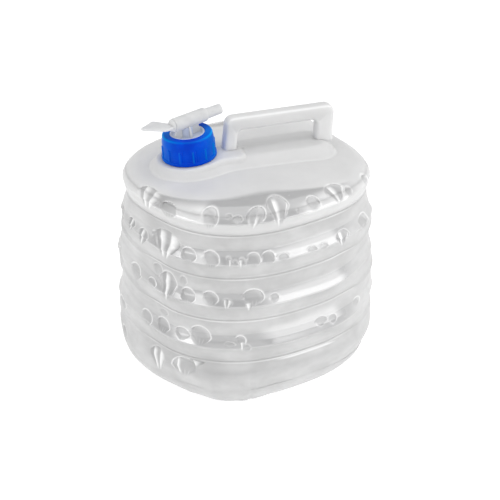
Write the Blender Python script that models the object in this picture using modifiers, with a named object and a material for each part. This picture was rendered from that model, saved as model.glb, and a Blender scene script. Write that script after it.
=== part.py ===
"""Collapsible water carrier: a pleated bottle with a moulded top, a screw cap and a swivel tap.

Metres, +Z up. The origin is at the middle of the foot. +X runs along the carrying handle, from
the neck at -X to the far end of the handle, and +Y points away from the spout's resting side.
"""

import math

import bmesh
import bpy
from mathutils import Vector

# Plan of the bottle: a rounded square, turned against the line of the handle
PLAN_HALF_LENGTH = 0.1365
PLAN_HALF_WIDTH = 0.1270
PLAN_POWER_SHARE = 2.5
PLAN_TURN = math.radians(17)
PLAN_POINTS = 48

# Wall of the bottle: the pleats are a thin film, the foot and the top are thicker
FILM = 0.0010
FOOT_WALL = 0.0018
TOP_WALL = 0.0022

# Pleats
PLEAT_COUNT = 3
PLEAT_HEIGHT = 0.0500
PLEAT_DEPTH = 0.0060
LOWEST_CREASE = 0.0660
# One pleat from crease to crease: share of its height, share of its depth
PLEAT_SHARES = (
    (0.00, 1.00),
    (0.05, 0.60),
    (0.15, 0.22),
    (0.34, 0.00),
    (0.60, 0.04),
    (0.82, 0.30),
    (0.95, 0.68),
)

# Foot: a flat ring round a raised middle, under a bowl that rises to the widest line
FOOT_RING_INSET = 0.0470
FOOT_RING_WIDTH = 0.0160
FOOT_RAISED = 0.0030
FOOT_SLOPE = 0.0050
FOOT_RIM_HEIGHT = 0.0300
BOWL_HEIGHT = 0.0480
# The bowl from the foot ring to the widest line: share of the inset, share of the height
BOWL_SHARES = (
    (0.86, 0.018),
    (0.66, 0.080),
    (0.46, 0.190),
    (0.28, 0.340),
    (0.15, 0.500),
)
# The bowl's upper part, which belongs to the film
LOW_PLEAT_SHARES = (
    (0.06, 0.800),
    (0.00, 1.000),
)
LOW_FLANK_SHARE = 0.55

# Moulded top: the shoulder, then a low dome
TOP_CREASE = LOWEST_CREASE + PLEAT_COUNT * PLEAT_HEIGHT
TOP_DRAW_IN = 0.0045
SHOULDER_HEIGHT = 0.0350
SHOULDER_INSET = 0.0420
DOME_RISE = 0.0035
# The shoulder from the crease up: share of the pleat depth or shoulder inset, share of the height
SHOULDER_FLANK_SHARES = ((1.00, 0.00), (0.45, 0.12), (0.10, 0.28), (0.00, 0.43))
SHOULDER_SHARES = ((0.06, 0.63), (0.20, 0.79), (0.42, 0.90), (0.70, 0.965), (1.00, 1.00))
DOME_SHARES = ((0.35, 0.45), (0.65, 0.80), (0.85, 0.95))
SHELL_BOTTOM = TOP_CREASE
SHOULDER_TOP = TOP_CREASE + SHOULDER_HEIGHT
DOME_TOP = SHOULDER_TOP + DOME_RISE

# Platform on the dome, which carries the handle and runs into the neck's boss
PLATFORM_RISE = 0.0085
PLATFORM_HALF_WIDTH = 0.0310
NECK_END_ROOM = 0.0705
FAR_END_ROOM = 0.0345
PLATFORM_TOP = DOME_TOP + PLATFORM_RISE
PLATFORM_LEFT = NECK_END_ROOM - PLAN_HALF_LENGTH
PLATFORM_RIGHT = PLAN_HALF_LENGTH - FAR_END_ROOM
PLATFORM_CORNER = 0.0220
PLATFORM_EDGE = 0.0030

# Carrying handle
NECK_TO_HANDLE = 0.0420
HANDLE_END_ROOM = 0.0040
HANDLE_HEIGHT = 0.0400
HANDLE_LEFT = PLATFORM_LEFT + NECK_TO_HANDLE
HANDLE_RIGHT = PLATFORM_RIGHT - HANDLE_END_ROOM
HANDLE_TOP = PLATFORM_TOP + HANDLE_HEIGHT
HANDLE_THICKNESS = 0.0152
HANDLE_BAR = 0.0145
HANDLE_LEFT_POST = 0.0125
HANDLE_RIGHT_POST = 0.0180
HANDLE_SPLAY = 0.0040
HANDLE_CORNER = 0.0080
GRIP_CORNER = 0.0060
HANDLE_EDGE = 0.0028

# Neck, leaning away from the handle
NECK_X = PLATFORM_LEFT
NECK_LEAN = math.radians(5)
NECK_RADIUS = 0.0252
NECK_WALL = 0.0024
NECK_DEPTH = 0.0170
NECK_COLLAR_PROUD = 0.0010
NECK_COLLAR_HEIGHT = 0.0024
BOSS_LEDGE = 0.0118
BOSS_SPREAD = 0.0050
BOSS_HEIGHT = 0.0200
NECK_COLLAR = NECK_RADIUS + NECK_COLLAR_PROUD
BOSS_RADIUS = NECK_RADIUS + BOSS_LEDGE
BOSS_FOOT = BOSS_RADIUS + BOSS_SPREAD

# Screw cap: a ribbed skirt under a flat ring, open in the middle
CAP_HEIGHT = 0.0290
CAP_WALL = 0.0018
CAP_THREAD_ROOM = 0.0018
CAP_LIP_PROUD = 0.0017
CAP_LIP_HEIGHT = 0.0035
CAP_TAPER = 0.0008
CAP_ROUND = 0.0028
CAP_TOP_THICKNESS = 0.0025
CAP_RING_WIDTH = 0.0085
CAP_FOOT_RADIUS = NECK_RADIUS + CAP_THREAD_ROOM + CAP_WALL
CAP_TOP_RADIUS = CAP_FOOT_RADIUS - CAP_TAPER
CAP_LIP_RADIUS = CAP_FOOT_RADIUS + CAP_LIP_PROUD
CAP_OPENING = CAP_TOP_RADIUS - CAP_RING_WIDTH
CAP_TURN = math.radians(10)
CAP_RIB_COUNT = 12
CAP_RIB_WIDTH = 0.0034
CAP_RIB_PROUD = 0.0011
CAP_RIB_HEIGHT = 0.0140

# Tap: a barrel across the cap, with a spout at one end and a plug in the other
TAP_TURN = math.radians(15)
TAP_AXIS_ABOVE_CAP = 0.0128
BARREL_RADIUS = 0.0078
BARREL_BACK = 0.0165
BARREL_FRONT = 0.0246
BARREL_CHAMFER = 0.0014
SPOUT_RADIUS = 0.0057
SPOUT_LENGTH = 0.0205
SPOUT_BORE = 0.0044
SPOUT_RIM = 0.0004
STEM_RADIUS = 0.0066
STEM_BORE = 0.0042
PLUG_BORE = 0.0060
PLUG_BORE_FRONT = 0.0135

# Foot of the tap: a shallow dish in the cap's opening, with a flange that the cap holds down
DISH_WALL = 0.0016
DISH_DEPTH = 0.0045
DISH_FLOOR = 0.0020
DISH_RIM_BELOW = 0.0004
FLANGE_THICKNESS = 0.0020
FLANGE_ROOM = 0.0002
WEB_THICKNESS = 0.0018
WEB_REACH = 0.0153
GUSSET_REACH = 0.0095
GUSSET_HEIGHT = 0.0045

# Plug with its paddle
PLUG_RADIUS = 0.0057
PLUG_FRONT = 0.0130
PLUG_BLIND = 0.0070
PLUG_HEAD = 0.0034
PLUG_HEAD_END = 0.0046
PADDLE_THICKNESS = 0.0026
PADDLE_REACH = 0.0316
PADDLE_WIDTH = 0.0235
PADDLE_CORNER = 0.0016
# Corners of the paddle: share of the reach past the barrel, share of the width to one side
PADDLE_SHARES = (
    (0.02, -0.23),
    (0.31, -0.31),
    (0.515, -0.14),
    (1.00, 0.69),
    (0.395, 1.00),
    (0.07, 0.285),
)
RING_WIRE = 0.0008
RING_GROOVE_WIDTH = 0.0022
RING_END_ROOM = 0.0024
RING_BACK = BARREL_BACK - RING_END_ROOM

# Clearances and drawing
SEAT = 0.0003
OVERRUN = 0.0020
TURN_STEPS = 40
SMALL_STEPS = 24

# Heights over the foot of the neck: from the cap's ring down through the flange and the seal to the rim
SEAL_THICKNESS = 0.0020
FLANGE_TOP = CAP_HEIGHT - CAP_TOP_THICKNESS - SEAT
FLANGE_LOW = FLANGE_TOP - FLANGE_THICKNESS
SEAL_TOP = FLANGE_LOW - SEAT
NECK_HEIGHT = SEAL_TOP - SEAL_THICKNESS - SEAT
TAP_AXIS_HEIGHT = CAP_HEIGHT + TAP_AXIS_ABOVE_CAP
DISH_TOP = CAP_HEIGHT - DISH_DEPTH
DISH_LOW = DISH_TOP - DISH_FLOOR


def clear_scene():
    """Empties the scene that this file is opened in."""
    for old in list(bpy.data.objects):
        bpy.data.objects.remove(old)


def new_collection(name):
    """A collection of this name, linked to the scene."""
    made = bpy.data.collections.new(name)
    bpy.context.scene.collection.children.link(made)
    return made


def new_material(name, colour, roughness):
    """A plain plastic of one colour."""
    made = bpy.data.materials.new(name)
    made.use_nodes = True
    shader = made.node_tree.nodes["Principled BSDF"]
    shader.inputs["Base Color"].default_value = (*colour, 1.0)
    shader.inputs["Roughness"].default_value = roughness
    shader.inputs["Metallic"].default_value = 0.0
    return made


clear_scene()
PARTS = new_collection("collapsible_water_carrier")
TOOLS = new_collection("cutters")
FROSTED = new_material("frosted_plastic", (0.68, 0.70, 0.71), 0.45)
CLEAR = new_material("clear_film", (0.60, 0.63, 0.65), 0.18)
BLUE = new_material("blue_plastic", (0.01, 0.07, 0.50), 0.32)
MILKY = new_material("milky_plastic", (0.66, 0.66, 0.65), 0.38)
RUBBER = new_material("white_rubber", (0.75, 0.74, 0.70), 0.70)


def add_object(name, mesh, material=None, parent=None):
    """A part where a material is given, and otherwise a hidden shape that cuts or joins."""
    made = bpy.data.objects.new(name, mesh)
    if material:
        mesh.materials.append(material)
        PARTS.objects.link(made)
    else:
        made.hide_render = True
        made.display_type = "WIRE"
        TOOLS.objects.link(made)
    made.parent = parent
    return made


def add_empty(name, location, turn, parent=None):
    """An axis that parts hang on."""
    made = bpy.data.objects.new(name, None)
    made.location = location
    made.rotation_euler = turn
    made.parent = parent
    PARTS.objects.link(made)
    return made


def mesh_of(shape, name):
    """The bmesh as a mesh with its normals facing out."""
    bmesh.ops.recalc_face_normals(shape, faces=shape.faces)
    mesh = bpy.data.meshes.new(name)
    shape.to_mesh(mesh)
    shape.free()
    mesh.shade_smooth()
    mesh.set_sharp_from_angle(angle=math.radians(35))
    return mesh


def draw_in(z):
    """How far the bottle is drawn in at a height: it narrows softly from the lowest crease up."""
    rise = (z - LOWEST_CREASE) / (TOP_CREASE - LOWEST_CREASE)
    return TOP_DRAW_IN * min(max(rise, 0), 1) ** 2


def plan_ring(inset):
    """The bottle's outline, drawn in by the inset, as points from its long axis round."""
    half_length = PLAN_HALF_LENGTH - inset
    half_width = PLAN_HALF_WIDTH - inset
    ring = []
    for step in range(PLAN_POINTS):
        angle = 2 * math.pi * step / PLAN_POINTS
        across, along = math.sin(angle), math.cos(angle)
        x = half_length * math.copysign(abs(along) ** (2 / PLAN_POWER_SHARE), along)
        y = half_width * math.copysign(abs(across) ** (2 / PLAN_POWER_SHARE), across)
        ring.append(
            (
                x * math.cos(PLAN_TURN) - y * math.sin(PLAN_TURN),
                x * math.sin(PLAN_TURN) + y * math.cos(PLAN_TURN),
            )
        )
    return ring


def loft(name, profile, start_z=None, end_z=None, cap_start=False):
    """A skin over the plan at each (inset, z) of the profile, closed to a point at start_z or end_z."""
    shape = bmesh.new()
    rings = [
        [shape.verts.new((x, y, z)) for x, y in plan_ring(inset + draw_in(z))]
        for inset, z in profile
    ]
    for low, high in zip(rings, rings[1:]):
        for i in range(PLAN_POINTS):
            j = (i + 1) % PLAN_POINTS
            shape.faces.new((low[i], low[j], high[j], high[i]))
    for ring, z in ((rings[0], start_z), (rings[-1], end_z)):
        if z is not None:
            middle = shape.verts.new((0, 0, z))
            for i in range(PLAN_POINTS):
                shape.faces.new((ring[i], ring[(i + 1) % PLAN_POINTS], middle))
    if cap_start:
        shape.faces.new(rings[0])
    return mesh_of(shape, name)


def solidify(target, thickness):
    """Gives an outer skin its wall, grown inwards."""
    wall = target.modifiers.new("wall", "SOLIDIFY")
    wall.thickness = thickness
    wall.offset = -1
    wall.use_even_offset = True


def combine(target, other, operation):
    """A Boolean of a hidden shape on the target."""
    made = target.modifiers.new(other.name, "BOOLEAN")
    made.operation = operation
    made.object = other
    made.solver = "EXACT"


def turned(name, profile, material=None, parent=None, steps=TURN_STEPS):
    """A closed (radius, height) outline turned round Z, listed down its outer side first."""
    mesh = bpy.data.meshes.new(name)
    count = len(profile)
    edges = [(i, (i + 1) % count) for i in range(count)]
    if profile[0][0] == 0 and profile[-1][0] == 0:
        edges.pop()
    mesh.from_pydata([(radius, 0, height) for radius, height in profile], edges, [])
    made = add_object(name, mesh, material, parent)
    screw = made.modifiers.new("turn", "SCREW")
    screw.axis = "Z"
    screw.steps = steps
    screw.render_steps = steps
    screw.use_merge_vertices = True
    screw.merge_threshold = 0.00001
    screw.use_smooth_shade = True
    return made


def cutter(name, profile, parent=None, steps=SMALL_STEPS):
    """A hidden turned shape, set half a step round so that its facets cross those of the part."""
    made = turned(name, profile, None, parent, steps)
    made.rotation_euler.z = math.pi / steps
    return made


def rod(name, radius, low, high, parent=None, steps=SMALL_STEPS):
    """A hidden round rod along Z."""
    return cutter(name, [(0, high), (radius, high), (radius, low), (0, low)], parent, steps)


def arc(middle_x, middle_y, radius, start, end, steps=4):
    """Points round a corner, with the angles in degrees."""
    points = []
    for step in range(steps + 1):
        angle = math.radians(start + (end - start) * step / steps)
        points.append((middle_x + radius * math.cos(angle), middle_y + radius * math.sin(angle)))
    return points


def slab(name, outline, low, high, material=None, parent=None, upright=False):
    """A flat outline given its thickness, along Z or, where upright, with the outline in XZ."""
    shape = bmesh.new()
    place = (lambda x, y: (x, low, y)) if upright else (lambda x, y: (x, y, low))
    face = shape.faces.new([shape.verts.new(place(x, y)) for x, y in outline])
    grown = bmesh.ops.extrude_face_region(shape, geom=[face])
    lift = Vector((0, high - low, 0) if upright else (0, 0, high - low))
    moved = [item for item in grown["geom"] if isinstance(item, bmesh.types.BMVert)]
    bmesh.ops.translate(shape, verts=moved, vec=lift)
    return add_object(name, mesh_of(shape, name), material, parent)


def round_edges(target, width, segments=2):
    """Rounds the sharp edges of a part."""
    bevel = target.modifiers.new("edges", "BEVEL")
    bevel.width = width
    bevel.segments = segments
    bevel.limit_method = "ANGLE"
    bevel.angle_limit = math.radians(50)


def bowl_profile(shares):
    """Points of the bowl over the foot ring."""
    return [(inset * FOOT_RING_INSET, height * BOWL_HEIGHT) for inset, height in shares]


def rim_inset():
    """The bowl's inset where the foot stops and the film starts."""
    (low_inset, low), (high_inset, high) = bowl_profile((BOWL_SHARES[-1], LOW_PLEAT_SHARES[0]))
    along = (FOOT_RIM_HEIGHT - low) / (high - low)
    return low_inset + along * (high_inset - low_inset)


def make_foot():
    """The stiff bottom of the bottle, standing on a flat ring."""
    ring_inner = FOOT_RING_INSET + FOOT_RING_WIDTH
    profile = [
        (ring_inner + FOOT_SLOPE, FOOT_RAISED),
        (ring_inner, 0),
        (FOOT_RING_INSET, 0),
        *bowl_profile(BOWL_SHARES),
        (rim_inset(), FOOT_RIM_HEIGHT - SEAT / 2),
    ]
    foot = add_object("foot_pan", loft("foot_pan", profile, start_z=FOOT_RAISED), FROSTED)
    solidify(foot, FOOT_WALL)
    return foot


def pleat_profile():
    """The film from the foot's rim over every pleat to the top crease."""
    profile = [(rim_inset(), FOOT_RIM_HEIGHT + SEAT / 2), *bowl_profile(LOW_PLEAT_SHARES)]
    flank = LOWEST_CREASE - BOWL_HEIGHT
    profile.append((LOW_FLANK_SHARE * PLEAT_DEPTH / 2, BOWL_HEIGHT + LOW_FLANK_SHARE * flank))
    for pleat in range(PLEAT_COUNT):
        for height, depth in PLEAT_SHARES:
            z = LOWEST_CREASE + (pleat + height) * PLEAT_HEIGHT
            profile.append((depth * PLEAT_DEPTH, z))
    profile.append((PLEAT_DEPTH, TOP_CREASE - SEAT))
    return profile


def make_bellows():
    """The thin pleated wall that folds down."""
    bellows = add_object("bellows", loft("bellows", pleat_profile()), CLEAR)
    solidify(bellows, FILM)
    return bellows


def top_profile(wall):
    """The shoulder and dome, drawn in by a wall."""
    profile = [
        (share * PLEAT_DEPTH, TOP_CREASE + height * SHOULDER_HEIGHT)
        for share, height in SHOULDER_FLANK_SHARES
    ]
    profile += [
        (share * SHOULDER_INSET, TOP_CREASE + height * SHOULDER_HEIGHT)
        for share, height in SHOULDER_SHARES
    ]
    dome_span = PLAN_HALF_WIDTH - SHOULDER_INSET
    profile += [
        (SHOULDER_INSET + share * dome_span, SHOULDER_TOP + rise * DOME_RISE)
        for share, rise in DOME_SHARES
    ]
    return offset(profile, wall) if wall else profile


def offset(profile, wall):
    """The profile moved inwards by the wall, square to its run."""
    moved = []
    last = len(profile) - 1
    for i, (inset, z) in enumerate(profile):
        before, after = profile[max(i - 1, 0)], profile[min(i + 1, last)]
        run, rise = after[0] - before[0], after[1] - before[1]
        length = math.hypot(run, rise)
        moved.append((inset + wall * rise / length, z - wall * run / length))
    return moved


def platform_outline(inset):
    """The platform: straight sides that end in round corners."""
    half = PLATFORM_HALF_WIDTH - inset
    corner = PLATFORM_CORNER - inset
    right = PLATFORM_RIGHT - inset - corner
    outline = [(PLATFORM_LEFT, half), (PLATFORM_LEFT, -half)]
    outline += arc(right, corner - half, corner, -90, 0)
    outline += arc(right, half - corner, corner, 0, 90)
    return outline


def make_platform(name, inset, top):
    """A solid of the platform, from inside the shoulder up to its top."""
    made = slab(name, platform_outline(inset), SHOULDER_TOP - BOSS_HEIGHT / 2, top)
    round_edges(made, PLATFORM_EDGE, 2)
    return made


def make_boss(name, inset, neck_axis):
    """The round boss that the neck stands on, leaning with it."""
    top = -SEAT - inset
    profile = [
        (0, top),
        (BOSS_RADIUS - inset - PLATFORM_EDGE, top),
        (BOSS_RADIUS - inset, top - PLATFORM_EDGE),
        (BOSS_FOOT - inset, -BOSS_HEIGHT),
        (0, -BOSS_HEIGHT),
    ]
    return turned(name, profile, None, neck_axis)


def make_top_shell(neck_axis):
    """The moulded top: shoulder, dome, platform and boss as one hollow skin."""
    outer = loft("top_shell", top_profile(0), end_z=DOME_TOP, cap_start=True)
    shell = add_object("top_shell", outer, FROSTED)
    combine(shell, make_platform("platform_outside", 0, PLATFORM_TOP), "UNION")
    combine(shell, make_boss("boss_outside", 0, neck_axis), "UNION")
    inner = top_profile(TOP_WALL)
    inner.insert(0, (inner[0][0] + OVERRUN, SHELL_BOTTOM - OVERRUN))
    hollow = loft("shell_inside", inner, end_z=DOME_TOP - TOP_WALL, cap_start=True)
    combine(shell, add_object("shell_inside", hollow), "DIFFERENCE")
    under = make_platform("platform_inside", TOP_WALL, PLATFORM_TOP - TOP_WALL)
    combine(shell, under, "DIFFERENCE")
    bore = rod("neck_hole", NECK_RADIUS + SEAT, -BOSS_HEIGHT * 2, OVERRUN, neck_axis, TURN_STEPS)
    combine(shell, bore, "DIFFERENCE")
    return shell


def handle_outline():
    """The handle from its side, round the outside and back round the grip."""
    foot = PLATFORM_TOP + SEAT
    lean = HANDLE_SPLAY * HANDLE_CORNER / (HANDLE_TOP - foot)
    left, right, corner = HANDLE_LEFT, HANDLE_RIGHT, HANDLE_CORNER
    grip_left, grip_right = left + HANDLE_LEFT_POST, right - HANDLE_RIGHT_POST
    grip_top = HANDLE_TOP - HANDLE_BAR
    outline = [(left - HANDLE_SPLAY, foot), (grip_left - HANDLE_SPLAY / 2, foot)]
    outline += arc(grip_left + GRIP_CORNER, grip_top - GRIP_CORNER, GRIP_CORNER, 180, 90)
    outline += arc(grip_right - GRIP_CORNER, grip_top - GRIP_CORNER, GRIP_CORNER, 90, 0)
    outline += [(grip_right - HANDLE_SPLAY / 4, foot), (right - HANDLE_SPLAY * 3 / 4, foot)]
    outline += arc(right - corner - lean, HANDLE_TOP - corner, corner, 0, 90)
    outline += arc(left + corner - lean, HANDLE_TOP - corner, corner, 90, 180)
    return outline


def make_handle():
    """The carrying handle, a bar on two posts."""
    half = HANDLE_THICKNESS / 2
    handle = slab("carry_handle", handle_outline(), -half, half, FROSTED, upright=True)
    round_edges(handle, HANDLE_EDGE, 2)
    return handle


def make_neck(neck_axis):
    """The neck's tube, with a collar that rests on the boss."""
    bore = NECK_RADIUS - NECK_WALL
    return turned(
        "neck",
        [
            (bore, NECK_HEIGHT),
            (NECK_RADIUS - NECK_WALL / 4, NECK_HEIGHT),
            (NECK_RADIUS, NECK_HEIGHT - NECK_WALL / 4),
            (NECK_RADIUS, NECK_COLLAR_HEIGHT),
            (NECK_COLLAR, NECK_COLLAR_HEIGHT),
            (NECK_COLLAR, 0),
            (NECK_RADIUS, 0),
            (NECK_RADIUS, -NECK_DEPTH),
            (bore, -NECK_DEPTH),
        ],
        FROSTED,
        neck_axis,
    )


def cap_profile():
    """The cap's section: the ring's flat top, the rounded shoulder and the skirt."""
    top = CAP_HEIGHT
    inner = CAP_FOOT_RADIUS - CAP_WALL
    return [
        (CAP_OPENING, top),
        *arc(CAP_TOP_RADIUS - CAP_ROUND, top - CAP_ROUND, CAP_ROUND, 90, 0, 3),
        (CAP_FOOT_RADIUS, CAP_LIP_HEIGHT + CAP_ROUND / 2),
        (CAP_LIP_RADIUS, CAP_LIP_HEIGHT),
        (CAP_LIP_RADIUS, SEAT),
        (inner + CAP_WALL / 2, SEAT),
        (inner, CAP_LIP_HEIGHT),
        (inner - CAP_TAPER, top - CAP_TOP_THICKNESS),
        (CAP_OPENING, top - CAP_TOP_THICKNESS),
    ]


def make_cap(neck_axis):
    """The blue screw cap with its grip ribs."""
    cap = turned("screw_cap", cap_profile(), BLUE, neck_axis)
    reach = CAP_TOP_RADIUS + CAP_RIB_PROUD
    rib_outline = [
        (CAP_TOP_RADIUS - CAP_WALL / 2, -CAP_RIB_WIDTH / 2),
        (reach, -CAP_RIB_WIDTH / 3),
        (reach, CAP_RIB_WIDTH / 3),
        (CAP_TOP_RADIUS - CAP_WALL / 2, CAP_RIB_WIDTH / 2),
    ]
    for turn in range(CAP_RIB_COUNT):
        rib = slab(f"rib_{turn + 1}", rib_outline, CAP_LIP_HEIGHT / 2, CAP_LIP_HEIGHT + CAP_RIB_HEIGHT)
        rib.parent = neck_axis
        rib.rotation_euler.z = 2 * math.pi * (turn + 1 / 2) / CAP_RIB_COUNT + CAP_TURN
        combine(cap, rib, "UNION")
    return cap


def make_cap_seal(neck_axis):
    """The flat ring between the neck's rim and the tap's flange."""
    outer, inner = NECK_RADIUS - FLANGE_ROOM, NECK_RADIUS - NECK_WALL
    low = SEAL_TOP - SEAL_THICKNESS
    profile = [(inner, SEAL_TOP), (outer, SEAL_TOP), (outer, low), (inner, low)]
    return turned("cap_seal", profile, RUBBER, neck_axis)


def dish_profile():
    """The tap's stem and the dish and flange at its foot."""
    rim = CAP_HEIGHT - DISH_RIM_BELOW
    outer = CAP_OPENING - SEAT
    return [
        (0, TAP_AXIS_HEIGHT),
        (STEM_RADIUS, TAP_AXIS_HEIGHT),
        (STEM_RADIUS, DISH_TOP),
        (outer - DISH_WALL, DISH_TOP),
        (outer - DISH_WALL, rim),
        (outer, rim),
        (outer, FLANGE_TOP),
        (NECK_RADIUS - FLANGE_ROOM, FLANGE_TOP),
        (NECK_RADIUS - FLANGE_ROOM, FLANGE_LOW),
        (outer, FLANGE_LOW),
        (outer, DISH_LOW),
        (0, DISH_LOW),
    ]


def join_webs(target, tap_axis):
    """Joins the long web under the barrel and the short gusset across it to the tap."""
    low, high = DISH_TOP - DISH_FLOOR / 2, TAP_AXIS_HEIGHT - BARREL_RADIUS / 2
    step = DISH_TOP + GUSSET_HEIGHT
    web = [(-WEB_REACH, low), (WEB_REACH, low), (WEB_REACH, high), (-WEB_REACH, high)]
    gusset = [
        (-GUSSET_REACH, low),
        (GUSSET_REACH, low),
        (GUSSET_REACH, step),
        (STEM_RADIUS, high),
        (-STEM_RADIUS, high),
        (-GUSSET_REACH, step),
    ]
    half = WEB_THICKNESS / 2
    for name, outline, turn in (("web", web, 0), ("gusset", gusset, math.pi / 2)):
        fin = slab(name, outline, -half, half, parent=tap_axis, upright=True)
        fin.rotation_euler.z = turn
        combine(target, fin, "UNION")


def make_tap_body(tap_axis, barrel_axis):
    """The milky tap: barrel and spout in one line, over a stem that stands in a dish."""
    front = BARREL_FRONT + SPOUT_LENGTH
    barrel = turned(
        "tap_body",
        [
            (0, front),
            (SPOUT_RADIUS - SPOUT_RIM, front),
            (SPOUT_RADIUS, front - SPOUT_RIM),
            (SPOUT_RADIUS + SPOUT_RIM, BARREL_FRONT),
            (BARREL_RADIUS - BARREL_CHAMFER / 2, BARREL_FRONT),
            (BARREL_RADIUS, BARREL_FRONT - BARREL_CHAMFER),
            (BARREL_RADIUS, BARREL_CHAMFER - BARREL_BACK),
            (BARREL_RADIUS - BARREL_CHAMFER, -BARREL_BACK),
            (0, -BARREL_BACK),
        ],
        MILKY,
        barrel_axis,
        SMALL_STEPS,
    )
    combine(barrel, cutter("dish", dish_profile(), tap_axis, TURN_STEPS), "UNION")
    join_webs(barrel, tap_axis)
    way_profile = [
        (0, front + OVERRUN),
        (SPOUT_BORE, front + OVERRUN),
        (SPOUT_BORE, PLUG_BORE_FRONT),
        (PLUG_BORE, PLUG_BORE_FRONT),
        (PLUG_BORE, -BARREL_BACK - OVERRUN),
        (0, -BARREL_BACK - OVERRUN),
    ]
    combine(barrel, cutter("barrel_way", way_profile, barrel_axis), "DIFFERENCE")
    stem_bore = rod("stem_bore", STEM_BORE, DISH_LOW - OVERRUN, TAP_AXIS_HEIGHT, tap_axis)
    combine(barrel, stem_bore, "DIFFERENCE")
    return barrel


def make_plug(barrel_axis):
    """The turning plug: a ported tube with a head and a skewed paddle."""
    back = -BARREL_BACK
    groove = PLUG_RADIUS - RING_WIRE * 2
    head_low = back - SEAT - PLUG_HEAD
    plug = turned(
        "tap_plug",
        [
            (0, PLUG_FRONT),
            (PLUG_RADIUS, PLUG_FRONT),
            (PLUG_RADIUS, RING_GROOVE_WIDTH / 2 - RING_BACK),
            (groove, RING_GROOVE_WIDTH / 2 - RING_BACK),
            (groove, -RING_GROOVE_WIDTH / 2 - RING_BACK),
            (PLUG_RADIUS, -RING_GROOVE_WIDTH / 2 - RING_BACK),
            (PLUG_RADIUS, back - SEAT),
            (BARREL_RADIUS - BARREL_CHAMFER / 2, back - SEAT),
            (BARREL_RADIUS - BARREL_CHAMFER, back - SEAT - PLUG_HEAD / 2),
            (PLUG_HEAD_END, head_low),
            (0, head_low),
        ],
        MILKY,
        barrel_axis,
        SMALL_STEPS,
    )
    outline = [
        (side * PADDLE_WIDTH, back - SEAT - along * PADDLE_REACH) for along, side in PADDLE_SHARES
    ]
    half = PADDLE_THICKNESS / 2
    paddle = slab("paddle", outline, -half, half, parent=barrel_axis, upright=True)
    paddle.rotation_euler.z = math.pi / 2
    round_edges(paddle, PADDLE_CORNER / 2, 2)
    combine(plug, paddle, "UNION")
    bore = rod("plug_way", SPOUT_BORE, -PLUG_BLIND, PLUG_FRONT + OVERRUN, barrel_axis)
    combine(plug, bore, "DIFFERENCE")
    port = rod("plug_port", STEM_BORE, 0, PLUG_RADIUS + OVERRUN, barrel_axis)
    port.rotation_mode = "ZYX"
    port.rotation_euler = (math.pi / 2, 0, math.pi / SMALL_STEPS)
    combine(plug, port, "DIFFERENCE")
    return plug


def make_plug_ring(barrel_axis):
    """The small rubber ring in the plug's groove."""
    middle = PLUG_RADIUS - RING_WIRE
    section = arc(middle, -RING_BACK, RING_WIRE, 90, -270, 8)[:-1]
    return turned("plug_o_ring", section, RUBBER, barrel_axis, SMALL_STEPS)


def main():
    """Builds every part in place."""
    neck_axis = add_empty("neck_axis", (NECK_X, 0, PLATFORM_TOP), (0, -NECK_LEAN, 0))
    tap_axis = add_empty("tap_axis", (0, 0, 0), (0, 0, TAP_TURN), neck_axis)
    barrel_axis = add_empty("barrel_axis", (0, 0, TAP_AXIS_HEIGHT), (0, math.pi / 2, 0), tap_axis)
    make_foot()
    make_bellows()
    make_top_shell(neck_axis)
    make_handle()
    make_neck(neck_axis)
    make_cap(neck_axis)
    make_cap_seal(neck_axis)
    make_tap_body(tap_axis, barrel_axis)
    make_plug(barrel_axis)
    make_plug_ring(barrel_axis)


main()
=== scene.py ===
"""Collapsible water carrier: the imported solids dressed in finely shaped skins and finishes.

Metres, in the frame of the solids. The bottle's skins are grids bent round its plan, with the
dents, creases and steps of the moulding pushed into them. The cap, neck and tap are turned. The
handle, webs and paddle are flat outlines that are given a thickness.
"""

import math

import bmesh
import bpy
import numpy as np
from mathutils import Matrix, Vector


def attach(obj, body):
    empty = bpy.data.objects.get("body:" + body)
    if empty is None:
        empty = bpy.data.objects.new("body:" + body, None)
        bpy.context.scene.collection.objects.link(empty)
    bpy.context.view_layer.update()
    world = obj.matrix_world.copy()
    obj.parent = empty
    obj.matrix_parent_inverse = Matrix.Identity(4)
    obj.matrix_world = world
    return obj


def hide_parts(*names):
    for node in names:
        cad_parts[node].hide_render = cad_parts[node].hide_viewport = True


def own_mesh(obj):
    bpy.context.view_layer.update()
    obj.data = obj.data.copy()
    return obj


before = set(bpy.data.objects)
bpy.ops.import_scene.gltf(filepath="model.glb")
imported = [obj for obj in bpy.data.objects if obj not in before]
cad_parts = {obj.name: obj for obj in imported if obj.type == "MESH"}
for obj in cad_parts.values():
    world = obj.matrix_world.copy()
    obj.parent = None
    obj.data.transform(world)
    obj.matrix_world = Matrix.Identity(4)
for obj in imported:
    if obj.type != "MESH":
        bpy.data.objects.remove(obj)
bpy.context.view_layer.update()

# ------------------------ sizes, in millimetres
MM = 0.001
# The bottle's plan is a superellipse, turned under the handle. FRONT is where its front looks.
HALF_LENGTH, HALF_WIDTH, PLAN_POWER = 136.5, 127.0, 2.5
PLAN_TURN, FRONT = math.radians(17), math.radians(-105)
PLEAT = 50.0
CREASES = (66.0, 116.0, 166.0, 216.0)
FOOT_RIM = 30.0
TOP_DRAW_IN = 4.5
SHOULDER_HEIGHT, SHOULDER_INSET, DOME_RISE = 35.0, 42.0, 3.5
DOME_SPAN = HALF_WIDTH - SHOULDER_INSET
SHOULDER_TOP = CREASES[-1] + SHOULDER_HEIGHT
PLATFORM_TOP = 263.0
NECK_X, NECK_LEAN = -66.0, math.radians(5)
TAP_TURN = math.radians(15)
AXIS_HEIGHT = 41.8
WALL_IN = 5.0
# How finely the skins are made: columns round the bottle, and gaps between their rows
COLUMNS = 1024
FILM_GAP, SHOULDER_GAP, DECK_GAP, DOME_ROWS = 0.72, 0.85, 1.4, 62
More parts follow.
